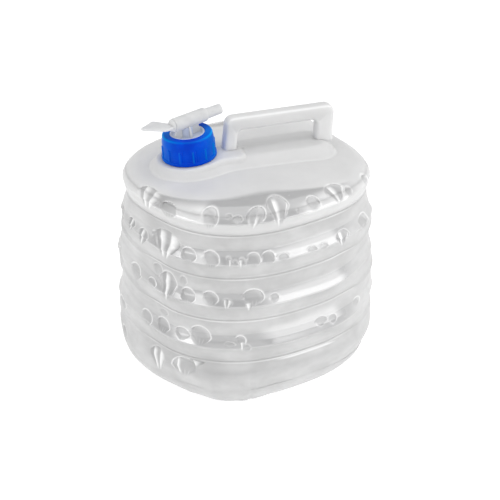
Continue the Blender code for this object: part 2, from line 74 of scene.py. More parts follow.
# How near to the middle line the skins run
NEARLY = 0.02


# ------------------------ shader sums
class Wire:
    """A socket of a finish, or a sum on sockets, written as plain arithmetic."""

    def __init__(self, finish, socket):
        self.finish, self.socket = finish, socket

    def sum(self, operation, first, second):
        return self.finish.node("ShaderNodeMath", {"operation": operation}, {0: first, 1: second})

    def __add__(self, other):
        return self.sum("ADD", self, other)

    def __sub__(self, other):
        return self.sum("SUBTRACT", self, other)

    def __rsub__(self, other):
        return self.sum("SUBTRACT", other, self)

    def __mul__(self, other):
        return self.sum("MULTIPLY", self, other)

    __radd__ = __add__
    __rmul__ = __mul__

    def between(self, low, high):
        """Smoothly from 0 to 1 as this goes from low to high."""
        feeds = {"Value": self, "From Min": low, "From Max": high}
        return self.finish.node("ShaderNodeMapRange", {"interpolation_type": "SMOOTHSTEP"}, feeds)


class Finish:
    """A material under construction round its Principled shader."""

    def __init__(self, name, **fixed):
        self.material = bpy.data.materials.new(name)
        self.material.use_nodes = True
        self.tree = self.material.node_tree
        self.shader = self.tree.nodes["Principled BSDF"]
        self.shader.inputs["Subsurface Radius"].default_value = (1.0, 1.0, 1.0)
        for socket, value in fixed.items():
            self.shader.inputs[socket.replace("_", " ")].default_value = value

    def node(self, kind, settings=None, feeds=None, out=0):
        made = self.tree.nodes.new(kind)
        for key, value in (settings or {}).items():
            setattr(made, key, value)
        for socket, value in (feeds or {}).items():
            self.feed(made.inputs[socket], value)
        return Wire(self, made.outputs[out])

    def feed(self, socket, value):
        if isinstance(value, Wire):
            self.tree.links.new(value.socket, socket)
        else:
            socket.default_value = value

    def place(self):
        return self.node("ShaderNodeTexCoord", out="Object")

    def noise(self, scale, detail=2.0, rough=0.5, stretch=None):
        where = self.place()
        if stretch:
            where = self.node("ShaderNodeMapping", None, {"Vector": where, "Scale": stretch})
        feeds = {"Vector": where, "Scale": scale, "Detail": detail, "Roughness": rough}
        return self.node("ShaderNodeTexNoise", None, feeds)

    def marked(self, name):
        """A value that the piece's mesh carries at each point."""
        return self.node("ShaderNodeAttribute", {"attribute_name": name}, out="Fac")

    def colours(self, share, first, second):
        """A colour between two, by a share."""
        made = self.tree.nodes.new("ShaderNodeMix")
        made.data_type = "RGBA"
        for socket, value in ((0, share), (6, first), (7, second)):
            self.feed(made.inputs[socket], value if isinstance(value, Wire) else (*value, 1.0))
        return Wire(self, made.outputs[2])

    def bumps(self, height, distance, strength=1.0):
        feeds = {"Height": height, "Distance": distance, "Strength": strength}
        return self.node("ShaderNodeBump", None, feeds)

    def done(self, **feeds):
        for socket, value in feeds.items():
            self.feed(self.shader.inputs[socket.replace("_", " ")], value)
        return self.material


# ------------------------ finishes
def polythene(name, light, dark, cloud_scale, depth, reach):
    """Milky polythene: cloudy, clearer where marked glossy, painted darker inside its dents as
    shade, and painted lighter for its highlights and milky ends.
    """
    made = Finish(name, IOR=1.5, Coat_IOR=1.9, Coat_Roughness=0.14, Subsurface_Weight=depth,
                  Subsurface_Scale=reach)
    gloss, hollow, white = made.marked("gloss"), made.marked("hollow"), made.marked("white")
    cloud_and_sheen = made.noise(cloud_scale, 3.0, 0.6, (1.0, 1.0, 1.6))
    grain = made.noise(900.0, 2.0)
    flow = made.noise(60.0, 2.0, 0.5, (1.0, 1.0, 4.0))
    tone = made.colours(cloud_and_sheen.between(0.3, 0.7), (dark,) * 3, (light,) * 3)
    tone = made.colours(gloss * 0.85, tone, (0.37, 0.37, 0.375))
    # Painted shade: darker inside the dents
    tone = made.colours(hollow * 0.65, tone, (0.34, 0.34, 0.345))
    # Painted highlights, with the milky ends: lighter where marked
    tone = made.colours(white, tone, (0.95, 0.95, 0.95))
    rough = 0.48 - gloss * 0.24 + (flow - 0.5) * 0.12
    wave = made.noise(34.0, 2.0, 0.45, (1.0, 1.0, 1.8))
    height = wave + flow * 0.12 + grain * 0.04
    return made.done(Base_Color=tone, Roughness=rough, Coat_Weight=gloss * 0.9,
                     Normal=made.bumps(height, 0.0022, 0.55))


def blue_finish():
    """Blue moulded plastic with a soft sheen and a fine drawn grain."""
    made = Finish("blue_cap_plastic", IOR=1.5, Specular_IOR_Level=0.02, Coat_Weight=0.06,
                  Coat_Roughness=0.14)
    cloud_and_sheen = made.noise(45.0, 3.0)
    grain = made.noise(1400.0, 2.0)
    tone = made.colours(cloud_and_sheen.between(0.3, 0.7), (0.000, 0.042, 0.53), (0.000, 0.066, 0.65))
    # Painted highlights: lighter blue where marked
    tone = made.colours(made.marked("white") * 0.6, tone, (0.0, 0.36, 0.82))
    rough = 0.30 + (cloud_and_sheen - 0.5) * 0.12
    return made.done(Base_Color=tone, Roughness=rough, Normal=made.bumps(grain, 0.0001, 0.2))


def milky_finish():
    """Milky natural plastic of the tap and its plug, with a faint painted glow and a painted blue
    reflection of the cap on its dish.
    """
    # The faint emission is a painted glow, standing for light through the plastic
    made = Finish("milky_tap_plastic", IOR=1.5, Subsurface_Weight=0.5, Subsurface_Scale=0.008,
                  Emission_Color=(0.92, 0.96, 1.0, 1.0), Emission_Strength=0.10)
    cloud_and_sheen = made.noise(70.0, 3.0)
    grain = made.noise(1100.0, 2.0)
    tone = made.colours(cloud_and_sheen.between(0.3, 0.7), (0.50, 0.50, 0.505), (0.57, 0.57, 0.57))
    # Painted reflection: the dish is tinted blue as if lit by the cap
    tone = made.colours(made.marked("tint") * 0.40, tone, (0.22, 0.34, 0.66))
    rough = 0.36 + (cloud_and_sheen - 0.5) * 0.16
    return made.done(Base_Color=tone, Roughness=rough, Normal=made.bumps(grain, 0.0001, 0.25))


def rubber_finish():
    """White sealing rubber, dull and faintly speckled."""
    made = Finish("sealing_rubber", IOR=1.48)
    speckle = made.noise(1600.0, 3.0)
    tone = made.colours(speckle.between(0.35, 0.65), (0.66, 0.65, 0.61), (0.76, 0.75, 0.71))
    return made.done(Base_Color=tone, Roughness=0.7 + speckle * 0.1,
                     Normal=made.bumps(speckle, 0.0002, 0.3))


# The thin film of pleats and foot, and the thicker moulding of the top and handle
FILM = polythene("frosted_film", 0.615, 0.515, 22.0, 0.25, 0.004)
SHELL = polythene("frosted_moulding", 0.69, 0.65, 18.0, 0.6, 0.012)
BLUE, MILKY, RUBBER = blue_finish(), milky_finish(), rubber_finish()


# ------------------------ curves and steps
def step(value, low, high):
    """0 below low, 1 above high, and smooth between."""
    share = np.clip((value - low) / (high - low), 0, 1)
    return share * share * (3 - 2 * share)


def bell(value, middle, width):
    """A soft hump of height 1."""
    return np.exp(-(((value - middle) / width) ** 2))


def turn_from(angle, direction):
    """How far an angle is turned from a direction in degrees, the shorter way round."""
    return (angle - math.radians(direction) + math.pi) % (2 * math.pi) - math.pi


def through(knots, where):
    """A smooth curve through (place, value) knots, read at each place."""
    places, values = (np.array(column, float) for column in zip(*knots))
    slopes = np.gradient(values, places)
    rising = np.sign(np.diff(values))
    slopes[1:-1][rising[:-1] * rising[1:] <= 0] = 0
    at = np.clip(np.searchsorted(places, where) - 1, 0, len(places) - 2)
    span = places[at + 1] - places[at]
    t = np.clip((where - places[at]) / span, 0, 1)
    return (
        values[at] * (1 + 2 * t) * (1 - t) ** 2
        + slopes[at] * span * t * (1 - t) ** 2
        + values[at + 1] * t * t * (3 - 2 * t)
        + slopes[at + 1] * span * t * t * (t - 1)
    )


def spaced(points, gap, dense=None):
    """A run of (inset, z) points walked at an even gap, or closer where dense says so."""
    lengths = np.hypot(*np.diff(points, axis=0).T)
    if dense:
        lengths = lengths * dense((points[1:] + points[:-1]) / 2)
    walked = np.concatenate([[0], np.cumsum(lengths)])
    want = np.linspace(0, walked[-1], int(round(walked[-1] / gap)) + 1)
    return np.stack([np.interp(want, walked, column) for column in points.T], axis=1)


def along(outline, row):
    """Both columns of an outline, read at each row."""
    return [np.interp(row, np.arange(len(outline)), column) for column in np.transpose(outline)]


# ------------------------ the bottle's plan and profiles
def draw_in(z):
    """How far the bottle narrows at a height."""
    rise = np.clip((z - CREASES[0]) / (CREASES[-1] - CREASES[0]), 0, 1)
    return TOP_DRAW_IN * rise**2


def plan_radius(angle, inset):
    """Distance from the middle line to the bottle's outline in a direction."""
    turned = angle - PLAN_TURN
    long_share = np.abs(np.cos(turned)) / (HALF_LENGTH - inset)
    wide_share = np.abs(np.sin(turned)) / (HALF_WIDTH - inset)
    return (long_share**PLAN_POWER + wide_share**PLAN_POWER) ** (-1 / PLAN_POWER)


# One pleat: height over its lower crease, inset of the film
PLEAT_KNOTS = ((0.0, 5.5), (2.0, 4.75), (5.0, 3.3), (9.0, 1.9), (13.0, 1.1), (17.0, 0.85),
               (18.0, 0.25), (18.6, 0.0), (20.0, 0.35), (21.5, 0.8), (23.5, 1.42), (25.5, 2.0),
               (27.0, 2.3), (30.0, 2.45), (33.4, 2.65), (34.4, 2.9), (40.0, 3.3), (45.0, 4.1),
               (48.0, 4.9), (50.0, 5.5))
# The same for the short pleat over the foot, by height
LOW_KNOTS = ((30.0, 4.6), (36.0, 2.55), (42.0, 1.05), (48.0, 0.2), (52.0, 0.35), (56.0, 1.4),
             (60.0, 2.9), (63.5, 4.6), (66.0, 5.5))
# The narrow groove in each crease, the milkiness of the bottle's ends, and the clear band
GROOVE, END_MILK = 0.15, 0.08
BAND_LOW, BAND_HIGH = 18.2, 34.0


def wavy(angle, seed, size):
    """A slow wave round the bottle, so that no line on the film is perfectly level."""
    draw = np.random.default_rng(seed)
    total = 0
    for count in (3, 5, 8, 13):
        total = total + np.sin(count * angle + draw.uniform(0, 2 * math.pi)) / count**0.5
    return size * total / 2


def pleat_fields(angle, z, low, seed):
    """(inset, gloss, painted highlights with the milky ends) of the film over the crease at low."""
    rise = z - low
    calm = step(rise, 3, 12) * (1 - step(rise, 40, 47))
    level = rise - wavy(angle, seed, 1.1) * calm
    inset = through(PLEAT_KNOTS, level)
    clear = faced(angle)
    inset = inset + GROOVE * (bell(rise, 0, 0.9) + bell(rise, PLEAT, 0.9)) * clear
    inset = inset - softened(angle, inset)
    gloss = step(level, BAND_LOW - 0.5, BAND_LOW + 0.3)
    gloss = gloss * (1 - 0.8 * step(level, BAND_HIGH - 1.0, BAND_HIGH))
    gloss = gloss * (1 - step(level, BAND_HIGH, BAND_HIGH + 5))
    fade = step(wavy(angle, seed + 50, 1.0), -0.5, 0.4)
    # Painted highlight lines beside both creases and along the lip of the clear band, the milky
    # ends, and painted highlight patches
    white = 0.75 * bell(rise, PLEAT - 1.3, 0.7) * (0.35 + 0.65 * fade) * clear
    white = white + 0.22 * bell(level, BAND_LOW + 0.6, 0.45) * clear
    white = white + 0.25 * bell(rise, 2.6, 0.7) * (1 - fade) * clear
    white = np.maximum(white, END_MILK * (1 - clear))
    return inset, gloss * clear, np.maximum(white, sheen(SHEENS[seed], angle, level))


def faced(angle):
    """1 on the two long faces of the bottle, and 0 round its ends, where the film stays frosted."""
    return step(np.abs(np.cos(angle - FRONT)), 0.40, 0.66)


def softened(angle, inset):
    """How much shallower a crease is round the ends of the bottle."""
    return 0.75 * (1 - faced(angle)) * np.maximum(inset - 3.6, 0)


# Painted highlight patches: first and last direction, lowest and highest level, strength. 11 to 14
# are on the film and 15 on the shoulder. The levels of 11 to 13 are heights over their pleat's
# crease.
SHEENS = {
    11: ((-105.0, -56.0, 25.5, 45.0, 0.42), (-147.0, -133.0, 19.0, 40.0, 0.60),
         (-134.0, -99.0, 17.8, 27.0, 0.15)),
    12: ((-105.0, -54.0, 17.6, 38.0, 0.42), (-140.0, -126.0, 18.0, 33.0, 0.60)),
    13: ((-102.0, -57.0, 17.6, 38.0, 0.42), (-143.0, -122.0, 18.0, 33.0, 0.55)),
    14: ((-96.0, -60.0, 62.0, 64.8, 0.8),),
    15: ((-84.0, -50.0, 230.0, 247.0, 0.60), (-152.0, -126.0, 230.0, 250.0, 0.62)),
}


def sheen(patches, angle, level, halves=(0, 180)):
    """Painted highlight patches, crisp along their lower edge and soft above and beside it."""
    white = np.zeros_like(level + angle)
    for first, last, low, high, strength in patches:
        for half in halves:
            turn = np.degrees(turn_from(angle, (first + last) / 2 + half))
            wide = (last - first) / 2
            lean = (level - low) / (high - low)
            soft = np.where(turn < 0, 10.0, 4.0)
            side = 1 - step(np.abs(turn + 5 * (lean - 0.5)), wide - soft, wide + 2)
            tall = (high - low) * (0.75 + 0.25 * step(turn, -wide, wide))
            up = 1 - step(level, low + 0.60 * tall, low + 1.10 * tall)
            up = up * step(level, low - 0.5, low + 0.6)
            white = np.maximum(white, strength * side * up)
    return white


# ------------------------ dents
# Each dent: kind, direction in degrees, lowest and highest point, width, depth
DENTS = {
    "shoulder": (
        ("fan", -165.0, 221.0, 247.0, 40.0, 2.4),
        ("arch", -149.0, 222.5, 242.5, 24.0, 2.2),
        ("arch", -126.5, 219.5, 249.3, 18.0, 1.6),
        ("drop", -117.5, 235.9, 242.9, 7.5, 0.9),
        ("drop", -113.3, 231.4, 240.9, 10.0, 1.2),
        ("slant", -105.0, 223.5, 249.3, 20.0, 2.2),
        ("leaf", -92.6, 220.0, 258.0, 25.0, 2.8),
        ("drop", -82.2, 232.5, 238.4, 5.0, 0.7),
        ("arch", -71.6, 226.8, 247.1, 16.0, 1.8),
        ("leaf", -55.0, 226.5, 252.0, 27.0, 2.4),
        ("drop", -47.3, 229.1, 243.0, 9.0, 1.3),
        ("arch", -30.8, 225.0, 242.5, 13.0, 1.6),
    ),
    "third": (
        ("leaf", -167.8, 175.7, 195.7, 21.0, 2.0),
        ("drop", -159.0, 187.6, 200.6, 10.6, 1.3),
        ("fan", -150.5, 173.5, 208.0, 42.0, 2.8),
        ("arch", -136.5, 177.2, 197.8, 17.7, 2.1),
        ("arch", -125.5, 175.5, 198.7, 17.2, 2.1),
        ("drop", -117.4, 181.6, 193.3, 6.5, 0.9),
        ("drop", -114.3, 181.1, 190.0, 5.9, 0.8),
        ("drop", -111.2, 178.9, 191.9, 8.1, 1.0),
        ("arch", -106.0, 176.9, 196.7, 14.4, 1.1),
        ("arch", -98.8, 176.8, 196.2, 15.0, 1.8),
        ("arch", -91.0, 179.9, 190.6, 13.3, 0.9),
        ("arch", -73.8, 181.4, 189.5, 12.7, 1.0),
        ("arch", -66.5, 180.0, 188.8, 12.5, 1.0),
        ("spark", -116.5, 181.0, 191.0, 6.0, 1.4),
        ("spark", -111.6, 179.5, 190.5, 7.5, 1.4),
        ("leaf", -53.4, 175.0, 195.4, 20.0, 2.1),
        ("arch", -35.8, 178.9, 199.7, 19.2, 2.0),
    ),
    "second": (
        ("arch", -173.2, 126.2, 149.0, 19.9, 2.1),
        ("drop", -156.4, 149.7, 163.7, 15.7, 1.4),
        ("arch", -159.5, 131.3, 144.2, 13.5, 1.5),
        ("leaf", -148.8, 124.0, 159.8, 27.0, 2.8),
        ("drop", -139.7, 149.4, 161.7, 9.8, 1.2),
        ("arch", -136.6, 128.8, 150.0, 17.5, 2.1),
        ("arch", -125.8, 131.5, 150.7, 16.5, 2.0),
        ("fan", -118.0, 129.8, 143.7, 11.9, 1.3),
        ("arch", -106.2, 130.5, 153.4, 22.7, 2.2),
        ("arch", -95.7, 133.8, 145.5, 10.6, 1.2),
        ("spark", -108.0, 128.5, 139.0, 10.0, 1.4),
    ),
    "first": (
        ("arch", -163.6, 79.2, 101.5, 17.6, 2.0),
        ("drop", -151.8, 104.9, 112.4, 13.2, 1.0),
        ("arch", -151.6, 82.5, 102.6, 18.9, 2.0),
        ("arch", -139.7, 84.0, 100.4, 18.8, 2.0),
        ("arch", -130.7, 81.6, 106.6, 23.2, 2.4),
        ("arch", -112.0, 84.6, 98.9, 10.9, 1.4),
        ("arch", -116.8, 85.9, 92.0, 12.0, 0.9),
        ("drop", -109.0, 78.3, 89.1, 8.8, 1.0),
        ("spark", -111.0, 80.0, 92.0, 7.0, 1.4),
        ("arch", -68.2, 88.4, 101.1, 17.0, 1.5),
        ("arch", -60.6, 85.9, 98.9, 11.2, 1.3),
        ("arch", -43.2, 92.7, 105.0, 12.6, 1.4),
    ),
    "low": (
        ("fan", -156.0, 30.5, 62.5, 26.0, 2.6),
        ("hook", -138.5, 40.0, 63.0, 30.0, 2.6),
        ("spark", -132.5, 57.0, 64.5, 22.0, 2.0),
    ),
}
RIM_PROUD = 0.25
# How bright the painted highlights on a dent's upper edge, its inner glow, its streaks and its
# ridges are
EDGE_HIGHLIGHT, GLOW_HIGHLIGHT, STREAK_HIGHLIGHT, RIDGE_HIGHLIGHT = 0.72, 0.5, 0.30, 0.95
# What the inside of each kind of dent shows: painted highlight ridges as (place across, width), how
# dark its painted shade is, and how strong its edge stands, in shape and in painted highlight
RIDGES = {
    "arch": ((), 0.45, 1.0),
    "hook": (((-0.55, 0.18),), 0.6, 1.0),
    "drop": ((), 0.35, 0.6),
    "leaf": (((-0.88, 0.20), (-0.14, 0.32), (0.88, 0.12)), 0.9, 0.7),
    "slant": (((-0.65, 0.20), (0.20, 0.28)), 0.7, 0.8),
    "fan": (((-0.92, 0.12), (-0.34, 0.30), (0.46, 0.40)), 0.7, 0.25),
    "spark": (((-0.10, 0.80),), 0.6, 0.0),
}


BACK_START, BACK_END = -20.0, 182.0


def back_dents(seed, low, high, first=BACK_START, last=BACK_END):
    """Dents for the sides without measured ones, drawn by a seeded generator."""
    draw = np.random.default_rng(seed)
    made, angle = [], BACK_START + draw.uniform(0, 8)
    while angle < BACK_END:
        width = draw.uniform(9, 23)
        height = width * draw.uniform(0.85, 1.25)
        middle = (low + high) / 2 + draw.uniform(-2.5, 2.5)
        kind = draw.choice(["arch", "arch", "leaf", "drop"])
        depth = 0.6 + width * 0.075
        if first < angle < last:
            made.append((str(kind), angle, middle - height / 2, middle + height / 2, width, depth))
        angle += draw.uniform(8.5, 19.0)
    return tuple(made)


def dent_fields(dents, angle, z, radius):
    """(push outwards, painted shade, painted highlights) of a set of dents at points on the bottle.
    """
    push, hollow, white = np.zeros_like(z), np.zeros_like(z), np.zeros_like(z)
    for kind, direction, low, high, width, depth in dents:
        turn = turn_from(angle, direction)
        level = np.abs(z - (low + high) / 2)
        near = np.flatnonzero((np.abs(turn) * radius < width) & (level < high - low))
        if not len(near):
            continue
        half_wide, half_high = width * 0.56, (high - low) * 0.5
        fine = 1 / half_wide
        across = turn[near] * radius[near] / half_wide
        up = (z[near] - low - half_high * 1.05) / half_high
        if kind == "slant":
            across = across - up * 0.3
        if kind == "spark":
            pointed = 1 + 1.2 * np.clip(0.6 - up, 0, 2)
        elif kind in ("fan", "leaf"):
            pointed = 1 + 1.4 * np.clip(0.3 - up, 0, 2) ** 1.3
        else:
            pointed = 1 + 1.3 * np.clip(-up, 0, 2) ** 1.5
        reach = np.sqrt((across * pointed) ** 2 + up**2)
        lean = -1 if kind == "hook" else 1
        crisp = step(up + 0.5 * lean * across, -0.7, 0.4)
        inside = step(1 - reach, 0, np.minimum(fine * (1.3 + 5.5 * (1 - crisp)), 0.9))
        fan = np.clip(across * pointed, -1.2, 1.2)
        ridges, shade, edged = RIDGES[kind]
        ridge = np.zeros_like(fan)
        for middle, size in ridges:
            off = (fan - middle) / size
            ridge = np.maximum(ridge, step(off, -0.7, -0.3) * (1 - step(off, -0.3, 1.3)))
        open_foot = step(up, -1.0, -0.45)
        rim = bell(reach, 1.0 + 0.5 * fine, fine) * step(up + 0.3 * lean * across, -0.4, 0.5)
        scoop = (0.25 + 0.75 * step(up, -1.0, 0.35)) * (1 - 0.2 * ridge)
        push[near] += RIM_PROUD * min(depth, 1.8) * edged * rim - depth * scoop * inside
        # Painted shade inside the dent, left off its ridges and weaker towards its open foot
        dark = shade * inside * (1 - ridge) * (0.5 + 0.5 * open_foot)
        hollow[near] = np.maximum(hollow[near], dark)
        # Painted highlights: the dent's upper edge, a glow inside on its lit side, streaks at its
        # foot and its ridges
        lit = step(up + 0.8 * lean * across, -0.2, 0.7)
        shine = EDGE_HIGHLIGHT * edged * bell(reach, 1.0 + 0.35 * fine, 0.95 * fine) * lit
        glow = step(up + 0.8 * lean * across, -0.1, 1.3) * step(reach, 0.35, 1.0)
        shine = np.maximum(shine, GLOW_HIGHLIGHT * edged * inside * glow)
        if kind == "slant":
            ridge = ridge * (1 - step(up, -0.4, 0.3))
        streaks = np.abs(np.cos(2.5 * math.pi * fan)) ** 10 * inside
        streaks = streaks * step(-up, 0.05, 0.5) * (1 - step(-up, 0.8, 1.0))
        shine = np.maximum(shine, STREAK_HIGHLIGHT * streaks)
        shine = np.maximum(shine, RIDGE_HIGHLIGHT * ridge * inside * (1 - step(up, 0.55, 0.95)))
        white[near] = np.maximum(white[near] * (1 - inside), shine * min(depth / 1.4, 1))
    return push, hollow, white


# ------------------------ skins
def fine_turns():
    """Directions of the bottle's columns, closer together on the side with the measured dents."""
    even = np.linspace(-math.pi, math.pi, 4001)
    density = 0.7 + 0.95 * step(np.cos(even + math.radians(110)), -0.15, 0.25)
    total = np.concatenate([[0], np.cumsum((density[1:] + density[:-1]) / 2)])
    return np.interp(np.linspace(0, total[-1], 2049), total, even)


TURNS = fine_turns()


def bent_grid(name, rows, columns, place, material, body, marks=None, fine=False):
    """A grid bent into a skin: place(angle, row) gives its points, and marks(angle, row) values."""
    shape = bmesh.new()
    bmesh.ops.create_grid(shape, x_segments=columns, y_segments=rows - 1, size=0.5)
    flat = np.array([vert.co[:2] for vert in shape.verts]) + 0.5
    share, row = flat[:, 0], flat[:, 1] * (rows - 1)
    angle = share * 2 * math.pi - math.pi
    if fine:
        angle = np.interp(share, np.linspace(0, 1, len(TURNS)), TURNS)
    points = place(angle, row) * MM
    for vert, point in zip(shape.verts, points):
        vert.co = point
    layers = {}
    for key, values in (marks(angle, row) if marks else {}).items():
        layers[key] = shape.verts.layers.float.new(key)
        for vert, value in zip(shape.verts, values):
            vert[layers[key]] = float(value)
    bmesh.ops.remove_doubles(shape, verts=shape.verts, dist=2e-6)
    return finished(name, shape, material, body)


def added(name, data):
    """A new object of the scene."""
    made = bpy.data.objects.new(name, data)
    bpy.context.scene.collection.objects.link(made)
    return made


def finished(name, shape, material, body, smooth=math.radians(50), outwards=False):
    """The bmesh as a piece of the scene that rides on a body."""
    if outwards:
        bmesh.ops.recalc_face_normals(shape, faces=shape.faces)
    mesh = bpy.data.meshes.new(name)
    shape.to_mesh(mesh)
    shape.free()
    mesh.shade_smooth()
    mesh.set_sharp_from_angle(angle=smooth)
    mesh.materials.append(material)
    piece = added(name, mesh)
    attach(piece, body)
    return piece


# Round the ends of the bottle: how far the creases climb, and how far the film stands out where it
# is filled at a crease, where it is loose, and where it sags round the direction SAG_AT
END_LIFT = 11.0
FILLED, LOOSE, SAGGING, SAG_AT = 3.4, 1.3, 1.5, 161


def end_lift(angle, z):
    """How far the film's creases climb round the ends of the bottle."""
    round_end = 1 - step(np.abs(np.cos(angle - FRONT)), 0.12, 0.80)
    return END_LIFT * round_end * step(z, 32, 75) * (1 - step(z, 150, 214))


def end_swell(angle, z):
    """The film's loose swellings round the ends, where the creases are drawn out."""
    filled = sum(bell(z, crease, 7.0) for crease in CREASES[:3])
    loose = np.sin(z / 11.0 + 2.2 * np.sin(3 * angle)) * step(z, 34, 50) * (1 - step(z, 196, 212))
    sagging = bell(turn_from(angle, SAG_AT), 0, 0.6) * step(z, 58, 95) * (1 - step(z, 170, 205))
    return (1 - faced(angle)) * (FILLED * filled + LOOSE * loose + SAGGING * sagging)


def wrap_points(angle, inset, z, push=0.0):
    """Points of the bottle's skin at a direction, an inset and a height."""
    radius = plan_radius(angle, inset + draw_in(z)) + push + end_swell(angle, z)
    height = z + end_lift(angle, z)
    return np.stack([radius * np.cos(angle), radius * np.sin(angle), height], axis=1)


def film_piece(name, low, high, fields_of, dents):
    """One stretch of the film between two heights, with its wall turned back inside."""
    heights = np.linspace(low, high, 400)
    line = np.stack([fields_of(0 * heights, heights)[0], heights], axis=1)

    def dense(middles):
        return 1 + 0.8 * (bell(middles[:, 1], low, 3) + bell(middles[:, 1], high, 3))

    outer = spaced(line, FILM_GAP, dense)[:, 1]
    back = np.linspace(0, 1, 8)[1:]
    levels = np.concatenate([outer, high + (low - high) * back])
    inward = np.concatenate([0 * outer, WALL_IN * np.sin(math.pi * back)])
    inward[-1] = 0
    count, outside = len(levels), len(outer)

    def fields(angle, row):
        index = np.round(row).astype(int)
        z = levels[index]
        inset, gloss, white = fields_of(angle, z)
        radius = plan_radius(angle, inset + draw_in(z))
        push, hollow, shine = dent_fields(dents, angle, z + end_lift(angle, z), radius)
        edge = step(z, low, low + 3) * (1 - step(z, high - 3, high)) * (index < outside)
        # Inside the dents their painted shade and highlights take the place of the film's painted
        # highlights
        white = np.maximum(white * (1 - np.minimum(hollow * 1.3, 1) * edge), shine * edge)
        return inset + inward[index], z, push * edge, hollow * edge, gloss, white

    def place(angle, row):
        return wrap_points(angle, *fields(angle, row)[:3])

    def marks(angle, row):
        hollow, gloss, white = fields(angle, row)[3:]
        return {"gloss": gloss * (1 - 0.75 * hollow), "hollow": hollow, "white": white}

    piece = bent_grid(name, count, COLUMNS, place, FILM, "base", marks, fine=True)
    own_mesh(piece)
    return piece


def low_fields(angle, z):
    """(inset, gloss, painted highlights) of the short pleat over the foot."""
    level = z - wavy(angle, 14, 0.8) * step(z, 32, 40) * (1 - step(z, 58, 64))
    clear = faced(angle)
    inset = through(LOW_KNOTS, level) + GROOVE * bell(z, CREASES[0], 0.9) * clear
    inset = inset - softened(angle, inset) * step(z, 45, 60)
    gloss = 0.4 * step(level, 40, 52) * (1 - step(level, 54, 61)) * clear
    fade = step(wavy(angle, 64, 1.0), -0.5, 0.4)
    # A painted highlight line under the crease and a painted highlight streak
    white = 0.75 * bell(z, CREASES[0] - 1.3, 0.7) * (0.35 + 0.65 * fade) * clear
    white = np.maximum(white, sheen(SHEENS[14], angle, level))
    return inset - base_folds(angle, z), gloss, white


# Crimps beside the foot's pouch: turn from its middle in degrees, width and height
CRIMPS = ((12.5, 1.6, 0.8), (-10.5, 1.6, 0.6), (2.0, 2.0, -0.7), (22.0, 3.0, -0.5),
          (-24.0, 2.5, 0.5))
POUCH_AT = -117


def base_folds(angle, z):
    """How far the foot is pushed out: a pouch at front and back, and flatter beside it."""
    total = 0
    for half, reach in ((0, 126), (180, 88)):
        turn = np.degrees(turn_from(angle, POUCH_AT + half))
        pouch = 1.5 * step(turn, -11.0, -7.0) * (1 - step(turn, 6.5, 10.0))
        right = 5.6 * (0.35 * step(turn, 7, 11) + 0.65 * step(turn, 10, 26))
        right = right * (1 - step(turn, reach - 32, reach))
        left = 3.0 * step(-turn, 9, 20) * (1 - step(-turn, 32, 52))
        crimps = sum(size * bell(turn, middle, width) for middle, width, size in CRIMPS)
        total = total + pouch - right - left + crimps
    return total * (1 - step(z, 30, 66))


def make_film():
    """The three full pleats and the short one over the foot."""
    pleats = (("film_pleat_low", 0, "first", 11), ("film_pleat_middle", 1, "second", 12),
              ("film_pleat_high", 2, "third", 13))
    for name, index, key, seed in pleats:
        low = CREASES[index]
        dents = DENTS[key] + back_dents(seed, low + 12, low + 34)
        film_piece(
            name, low, low + PLEAT,
            lambda angle, z, low=low, seed=seed: pleat_fields(angle, z, low, seed), dents,
        )
    film_piece("film_foot_pleat", FOOT_RIM, CREASES[0], low_fields,
                           DENTS["low"] + back_dents(14, 34, 58))
    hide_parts("bellows")


# ------------------------ moulded top
# The shoulder: height over the top crease, inset
SHOULDER_KNOTS = ((0.0, 5.5), (2.0, 4.65), (5.0, 3.0), (9.0, 1.6), (13.0, 0.95), (14.4, 0.8),
                  (15.2, 0.25), (15.8, 0.0), (17.5, 0.5), (20.0, 1.7), (23.0, 3.7), (27.65, 8.8),
                  (31.5, 17.8), (33.8, 29.4), (35.0, 42.0))
CREASE_INSET = 5.5
# The well round the neck, and the dome's raised corner: its middle, its reach and its height
WELL_RADIUS, WELL_DEPTH = 21.0, 16.0
CORNER_AT, CORNER_REACH, CORNER_LIFT = (100.0, 78.0), (42.0, 26.0), 9.0


def dome_height(inset):
    """Height of the dome at an inset, before anything is raised on it."""
    share = np.clip((inset - SHOULDER_INSET) / DOME_SPAN, 0, 1)
    return SHOULDER_TOP + DOME_RISE * (1 - (1 - share) ** 2)


def box_distance(x, y, left, right, half, corner):
    """Signed distance to a rounded rectangle, negative inside."""
    dx = np.abs(x - (left + right) / 2) - (right - left) / 2 + corner
    dy = np.abs(y) - half + corner
    outside = np.hypot(np.maximum(dx, 0), np.maximum(dy, 0))
    return outside + np.minimum(np.maximum(dx, dy), 0) - corner


def soft_min(a, b, radius):
    """The smaller of two distances, rounded where they meet."""
    share = np.clip(0.5 + 0.5 * (b - a) / radius, 0, 1)
    return b + (a - b) * share - radius * share * (1 - share)


def deck_distance(x, y, boss, right, half, corner, blend):
    """Distance to the outline of a deck that runs from the round boss of the neck to the right."""
    round_boss = np.hypot(x - NECK_X, y) - boss
    return soft_min(round_boss, box_distance(x, y, NECK_X, right, half, corner), blend)


# The platform under the handle, and the raised step on it that carries the neck and the near post
PLATFORM = (39.0, 96.0, 31.0, 22.0, 14.0)
PLATEAU = (35.0, -8.0, 27.0, 9.0, 10.0)
DECK_FOOT = 5.0


def bulge(distance, start, end, power):
    """A share that rolls over softly inside an outline and meets the ground at a crisp line."""
    return 1 - np.clip((distance - start) / (end - start), 0, 1) ** power


